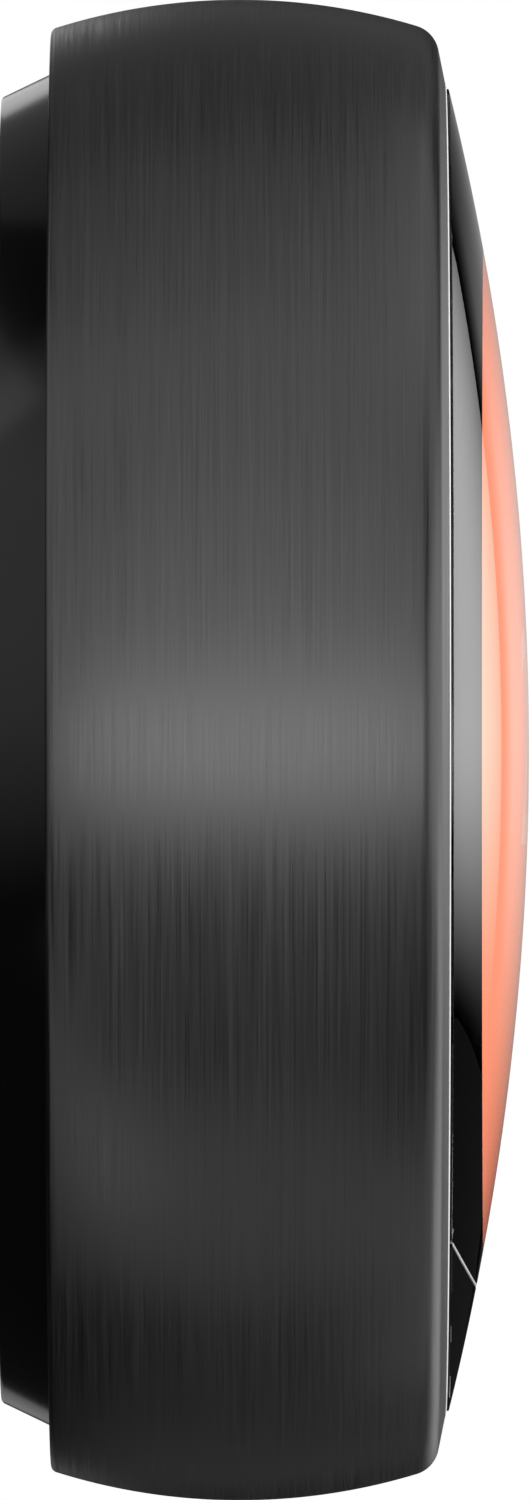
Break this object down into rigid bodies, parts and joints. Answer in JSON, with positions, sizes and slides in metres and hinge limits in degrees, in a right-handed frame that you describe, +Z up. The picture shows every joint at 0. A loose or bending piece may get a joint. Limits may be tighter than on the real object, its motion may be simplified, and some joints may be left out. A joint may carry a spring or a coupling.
{
  "type": "wall thermostat",
  "caption": "Round wall thermostat: dark brushed steel ring that turns, domed clear front over a lit round screen that clicks when pressed, and a black wall tray it pulls off.",
  "frame": {"origin": "midpoint between the two wall screw holes, on the wall plane at the back of the wall tray, which is the centre of the round body", "axes": "+Y into the wall along the body's axis, the front faces -Y, +Z up, +X to the right seen from the room"},
  "size_m": [0.084, 0.0295, 0.084],
  "materials": {
    "ring_steel": "dark plated, brushed round the ring",
    "spring_steel": "bright spring steel",
    "plate_steel": "satin pressed steel",
    "bright_steel": "bright plated",
    "can_metal": "satin tinned",
    "chassis_metal": "cast, bead blasted",
    "battery_wrap": "satin wrap",
    "brass": "bright",
    "gold_contact": "gold flashed",
    "tray_black": "gloss moulded",
    "housing_black": "fine spark texture",
    "frame_black": "matt",
    "terminal_white": "fine satin",
    "tab_grey": "satin moulded",
    "connector_black": "satin",
    "connector_ivory": "satin",
    "board_green": "solder mask",
    "chip_black": "moulded epoxy",
    "lead_red": "insulated wire",
    "acetal_white": "slippery natural",
    "liner_black": "satin",
    "strip_print": "printed film, fine dark bars",
    "lens_clear": "clear, polished",
    "window_black": "dark, polished",
    "mask_black": "black print",
    "sheet_milky": "ribbed, translucent",
    "gasket_black": "foam adhesive",
    "screen_orange": "lit screen",
    "backlight_white": "white can",
    "ribbon_amber": "flexible film",
    "vial_clear": "clear, polished",
    "level_green": "bright liquid"
  },
  "bodies": {
    "wall_unit": {"wall_tray": "tray_black", "base_board": "board_green", "terminal_blocks": "terminal_white", "terminal_clips": "brass", "tab_springs": "spring_steel", "face_plate": "plate_steel", "plate_screws": "bright_steel", "base_connector": "connector_black", "socket_contacts": "gold_contact", "level_vial": "vial_clear", "level_liquid": "level_green", "latch_springs": "spring_steel"},
    "display_back": {"rear_housing": "housing_black", "display_plug": "connector_black", "battery": "battery_wrap", "battery_lead": "lead_red", "main_board": "board_green", "board_chips": "chip_black", "shield_cans": "can_metal", "board_connectors": "connector_ivory", "sounder": "chip_black", "click_switch": "chip_black", "switch_dome": "spring_steel", "usb_socket": "bright_steel", "air_sensor": "chip_black", "turn_sensor": "chip_black", "chassis_plate": "chassis_metal", "chassis_screws": "bright_steel", "guide_bushes": "acetal_white", "return_springs": "spring_steel"},
    "front_carriage": {"front_frame": "frame_black", "glide_ring": "acetal_white", "lens_mask": "mask_black", "front_lens": "lens_clear", "sensor_window": "window_black", "lens_gasket": "gasket_black", "display_panel": "screen_orange", "backlight": "backlight_white", "display_flex": "ribbon_amber", "sensor_board": "board_green", "sensor_chips": "chip_black", "fresnel_sheet": "sheet_milky", "guide_pins": "bright_steel", "pin_clips": "spring_steel", "press_stem": "frame_black"},
    "turning_ring": {"outer_ring": "ring_steel", "ring_liner": "liner_black", "encoder_strip": "strip_print", "ring_retainer": "spring_steel"},
    "tab_1": {"terminal_tab_1": "tab_grey"},
    "tab_2": {"terminal_tab_2": "tab_grey"},
    "tab_3": {"terminal_tab_3": "tab_grey"},
    "tab_4": {"terminal_tab_4": "tab_grey"},
    "tab_5": {"terminal_tab_5": "tab_grey"},
    "tab_6": {"terminal_tab_6": "tab_grey"},
    "tab_7": {"terminal_tab_7": "tab_grey"},
    "tab_8": {"terminal_tab_8": "tab_grey"},
    "tab_9": {"terminal_tab_9": "tab_grey"},
    "tab_10": {"terminal_tab_10": "tab_grey"}
  },
  "joints": [
    {"name": "display_pull_off", "type": "slide", "parent": "wall_unit", "child": "display_back", "axis": [0, -1, 0], "range_m": [0, 0.02], "deforming": ["latch_springs"]},
    {"name": "front_press", "type": "slide", "parent": "display_back", "child": "front_carriage", "axis": [0, 1, 0], "range_m": [0, 0.0006], "stiffness_N_per_m": 4000, "deforming": ["return_springs", "switch_dome", "display_flex"]},
    {"name": "ring_turn", "type": "hinge", "parent": "front_carriage", "child": "turning_ring", "pos_m": [0, -0.0138, 0], "axis": [0, 1, 0], "continuous": true},
    {"name": "tab_1_press", "type": "slide", "parent": "wall_unit", "child": "tab_1", "axis": [0, 1, 0], "range_m": [0, 0.0009], "stiffness_N_per_m": 1500, "deforming": ["tab_springs"]},
    {"name": "tab_2_press", "type": "slide", "parent": "wall_unit", "child": "tab_2", "axis": [0, 1, 0], "range_m": [0, 0.0009], "stiffness_N_per_m": 1500, "deforming": ["tab_springs"]},
    {"name": "tab_3_press", "type": "slide", "parent": "wall_unit", "child": "tab_3", "axis": [0, 1, 0], "range_m": [0, 0.0009], "stiffness_N_per_m": 1500, "deforming": ["tab_springs"]},
    {"name": "tab_4_press", "type": "slide", "parent": "wall_unit", "child": "tab_4", "axis": [0, 1, 0], "range_m": [0, 0.0009], "stiffness_N_per_m": 1500, "deforming": ["tab_springs"]},
    {"name": "tab_5_press", "type": "slide", "parent": "wall_unit", "child": "tab_5", "axis": [0, 1, 0], "range_m": [0, 0.0009], "stiffness_N_per_m": 1500, "deforming": ["tab_springs"]},
    {"name": "tab_6_press", "type": "slide", "parent": "wall_unit", "child": "tab_6", "axis": [0, 1, 0], "range_m": [0, 0.0009], "stiffness_N_per_m": 1500, "deforming": ["tab_springs"]},
    {"name": "tab_7_press", "type": "slide", "parent": "wall_unit", "child": "tab_7", "axis": [0, 1, 0], "range_m": [0, 0.0009], "stiffness_N_per_m": 1500, "deforming": ["tab_springs"]},
    {"name": "tab_8_press", "type": "slide", "parent": "wall_unit", "child": "tab_8", "axis": [0, 1, 0], "range_m": [0, 0.0009], "stiffness_N_per_m": 1500, "deforming": ["tab_springs"]},
    {"name": "tab_9_press", "type": "slide", "parent": "wall_unit", "child": "tab_9", "axis": [0, 1, 0], "range_m": [0, 0.0009], "stiffness_N_per_m": 1500, "deforming": ["tab_springs"]},
    {"name": "tab_10_press", "type": "slide", "parent": "wall_unit", "child": "tab_10", "axis": [0, 1, 0], "range_m": [0, 0.0009], "stiffness_N_per_m": 1500, "deforming": ["tab_springs"]}
  ]
}
